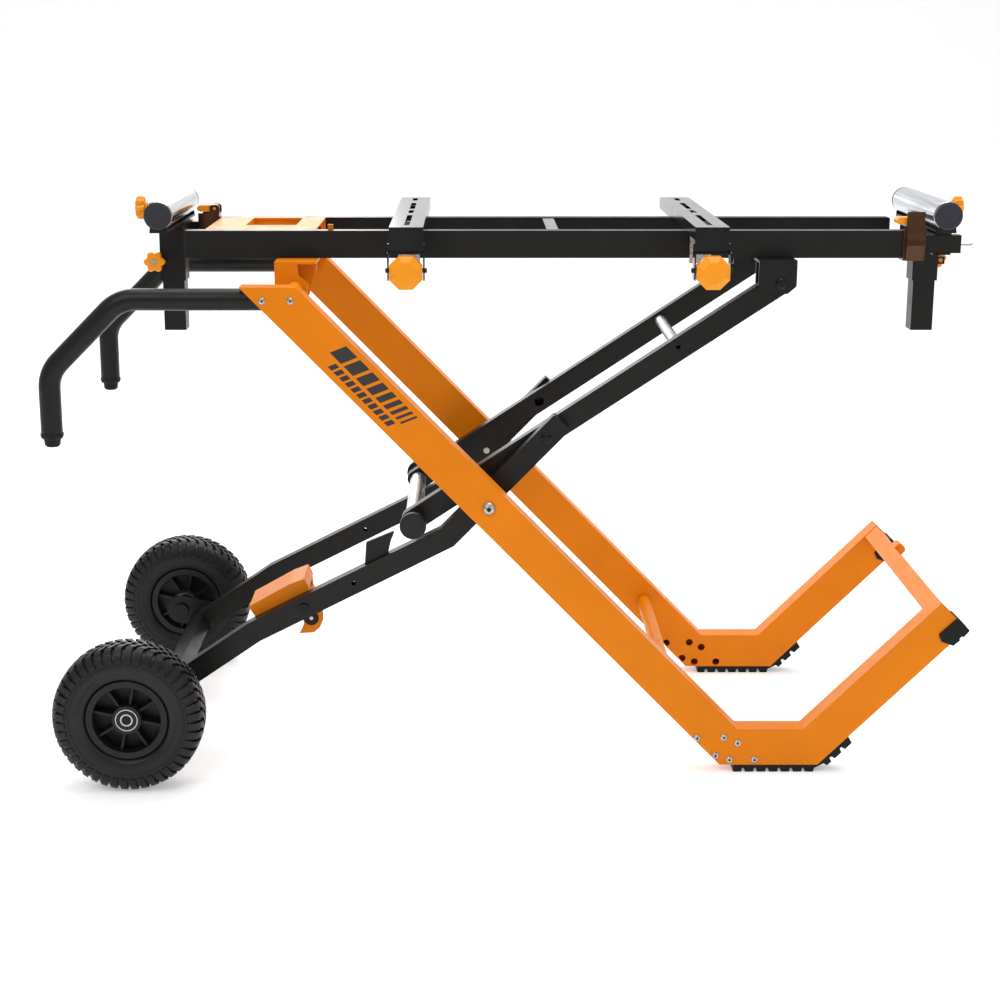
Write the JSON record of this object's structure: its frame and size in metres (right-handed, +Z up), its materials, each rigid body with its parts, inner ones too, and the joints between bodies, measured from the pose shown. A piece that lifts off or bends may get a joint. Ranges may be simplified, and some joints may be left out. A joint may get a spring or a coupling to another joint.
{
  "type": "folding mitre saw stand",
  "caption": "Wheeled scissor stand for a mitre saw: twin rails with sliding slotted brackets, roller arms, angled foot legs, push handles and pneumatic wheels.",
  "frame": {"origin": "on the floor, under the middle of the stand's bounding box, with the stand open and its arms pushed in", "axes": "+X along the rails from the handles and wheels to the foot, +Y from the lever side to the rear, +Z up"},
  "size_m": [1.5742, 0.748, 0.9655],
  "materials": {
    "orange_paint": "satin powder coat, orange",
    "black_paint": "satin powder coat, black",
    "grey_paint": "fine textured powder coat, dark grey",
    "black_steel": "blackened",
    "zinc": "zinc plated",
    "roller_steel": "polished",
    "galvanised": "galvanised tube",
    "bracket_steel": "pale coated sheet",
    "clamp_brown": "dark brown-black",
    "black_plastic": "moulded",
    "orange_plastic": "moulded, soft gloss",
    "cap_plastic": "dark grey moulded",
    "rubber": "black",
    "tyre": "black"
  },
  "bodies": {
    "leg_frame": {"front_foot_leg": "orange_paint", "rear_foot_leg": "orange_paint", "foot_treads": "rubber", "foot_end_caps": "rubber", "foot_bolts": "zinc", "leg_rivets": "zinc", "main_pivot_bolts": "zinc", "handle_caps": "rubber", "front_handle": "black_paint", "rear_handle": "black_paint", "cross_tubes": "orange_paint", "foot_cross_bar": "orange_paint"},
    "wheel_frame": {"front_wheel_leg": "black_paint", "rear_wheel_leg": "black_paint", "axle_beam": "black_paint", "axle_bolts": "black_steel", "knee_bolts": "black_steel", "pedal_pin": "black_steel"},
    "pedal": {"foot_pedal": "orange_paint"},
    "front_wheel": {"front_tyre": "tyre", "front_rim": "black_plastic", "front_wheel_bearings": "zinc"},
    "rear_wheel": {"rear_tyre": "tyre", "rear_rim": "black_plastic", "rear_wheel_bearings": "zinc"},
    "strut_frame": {"front_strut": "black_paint", "rear_strut": "black_paint", "strut_tubes": "galvanised", "lock_bar_caps": "black_plastic"},
    "rail_frame": {"front_rail": "black_paint", "rear_rail": "black_paint", "rail_end_plugs": "black_plastic", "rail_strap": "grey_paint", "crown_brackets": "black_paint", "crown_bolts": "black_steel", "leg_mount": "orange_paint", "leg_hangers": "orange_paint", "arm_clamps": "clamp_brown"},
    "left_bracket": {"left_saw_bracket": "bracket_steel", "left_clamp_jaw": "zinc"},
    "left_bracket_lever": {"left_clamp_lever": "orange_plastic"},
    "left_arm": {"left_roller_arm": "black_paint"},
    "left_post": {"left_roller_post": "black_paint", "left_roller_axle": "cap_plastic"},
    "left_roller_body": {"left_roller": "roller_steel"},
    "left_height_knob_body": {"left_height_knob": "orange_plastic"},
    "left_stop_knob_body": {"left_stop_knob": "orange_plastic"},
    "left_cam": {"left_arm_lever": "orange_plastic"},
    "right_bracket": {"right_saw_bracket": "grey_paint", "right_clamp_jaw": "zinc"},
    "right_bracket_lever": {"right_clamp_lever": "orange_plastic"},
    "right_arm": {"right_roller_arm": "black_paint"},
    "right_post": {"right_roller_post": "black_paint", "right_roller_axle": "cap_plastic"},
    "right_roller_body": {"right_roller": "roller_steel"},
    "right_height_knob_body": {"right_height_knob": "orange_plastic"},
    "right_stop_knob_body": {"right_stop_knob": "orange_plastic"},
    "right_cam": {"right_arm_lever": "orange_plastic"}
  },
  "joints": [
    {"name": "fold", "type": "hinge", "parent": "leg_frame", "child": "wheel_frame", "pos_m": [-0.0424, 0, 0.469], "axis": [0, -1, 0], "range_deg": [0, 76.9]},
    {"name": "rail_fold", "type": "hinge", "parent": "leg_frame", "child": "rail_frame", "pos_m": [-0.3654, 0, 0.825], "axis": [0, -1, 0], "range_deg": [-43.79, 0]},
    {"name": "strut_fold", "type": "hinge", "parent": "rail_frame", "child": "strut_frame", "pos_m": [0.4476, 0, 0.83], "axis": [0, -1, 0], "range_deg": [-32.86, 0]},
    {"name": "pedal_press", "type": "hinge", "parent": "wheel_frame", "child": "pedal", "pos_m": [-0.3629, 0, 0.2685], "axis": [0, -1, 0], "range_deg": [0, 16], "stiffness_Nm_per_rad": 3, "springref_deg": -20.05},
    {"name": "front_wheel_spin", "type": "hinge", "parent": "wheel_frame", "child": "front_wheel", "pos_m": [-0.6464, -0.334, 0.127], "axis": [0, 1, 0], "continuous": true},
    {"name": "rear_wheel_spin", "type": "hinge", "parent": "wheel_frame", "child": "rear_wheel", "pos_m": [-0.6464, 0.334, 0.127], "axis": [0, 1, 0], "continuous": true},
    {"name": "left_bracket_slide", "type": "slide", "parent": "rail_frame", "child": "left_bracket", "axis": [1, 0, 0], "range_m": [-0.1, 0.22]},
    {"name": "left_bracket_lever_turn", "type": "hinge", "parent": "left_bracket", "child": "left_bracket_lever", "pos_m": [-0.1764, -0.302, 0.868], "axis": [1, 0, 0], "range_deg": [0, 45]},
    {"name": "left_arm_slide", "type": "slide", "parent": "rail_frame", "child": "left_arm", "axis": [-1, 0, 0], "range_m": [0, 0.17]},
    {"name": "left_post_slide", "type": "slide", "parent": "left_arm", "child": "left_post", "axis": [0, 0, 1], "range_m": [0, 0.08]},
    {"name": "left_roller_spin", "type": "hinge", "parent": "left_post", "child": "left_roller_body", "pos_m": [-0.5944, 0, 0.942], "axis": [0, 1, 0], "continuous": true},
    {"name": "left_height_knob_turn", "type": "hinge", "parent": "left_arm", "child": "left_height_knob_body", "pos_m": [-0.6244, -0.03, 0.851], "axis": [0, -1, 0], "continuous": true},
    {"name": "left_stop_knob_turn", "type": "hinge", "parent": "left_post", "child": "left_stop_knob_body", "pos_m": [-0.6319, 0, 0.942], "axis": [-1, 0, 0], "continuous": true},
    {"name": "left_cam_turn", "type": "hinge", "parent": "rail_frame", "child": "left_cam", "pos_m": [-0.5354, 0.1195, 0.931], "axis": [0, 1, 0], "range_deg": [0, 60]},
    {"name": "right_bracket_slide", "type": "slide", "parent": "rail_frame", "child": "right_bracket", "axis": [1, 0, 0], "range_m": [-0.18, 0.05]},
    {"name": "right_bracket_lever_turn", "type": "hinge", "parent": "right_bracket", "child": "right_bracket_lever", "pos_m": [0.3146, -0.302, 0.868], "axis": [1, 0, 0], "range_deg": [0, 45]},
    {"name": "right_arm_slide", "type": "slide", "parent": "rail_frame", "child": "right_arm", "axis": [1, 0, 0], "range_m": [0, 0.17]},
    {"name": "right_post_slide", "type": "slide", "parent": "right_arm", "child": "right_post", "axis": [0, 0, 1], "range_m": [0, 0.08]},
    {"name": "right_roller_spin", "type": "hinge", "parent": "right_post", "child": "right_roller_body", "pos_m": [0.7236, 0, 0.942], "axis": [0, 1, 0], "continuous": true},
    {"name": "right_height_knob_turn", "type": "hinge", "parent": "right_arm", "child": "right_height_knob_body", "pos_m": [0.7536, 0.03, 0.851], "axis": [0, 1, 0], "continuous": true},
    {"name": "right_stop_knob_turn", "type": "hinge", "parent": "right_post", "child": "right_stop_knob_body", "pos_m": [0.7611, 0, 0.942], "axis": [1, 0, 0], "continuous": true},
    {"name": "right_cam_turn", "type": "hinge", "parent": "rail_frame", "child": "right_cam", "pos_m": [0.6766, -0.1195, 0.931], "axis": [0, 1, 0], "range_deg": [0, 60]}
  ],
  "couplings": [
    {"joint": "rail_fold", "follows": "fold", "ratio": -0.5693},
    {"joint": "strut_fold", "follows": "fold", "ratio": -0.4272}
  ]
}
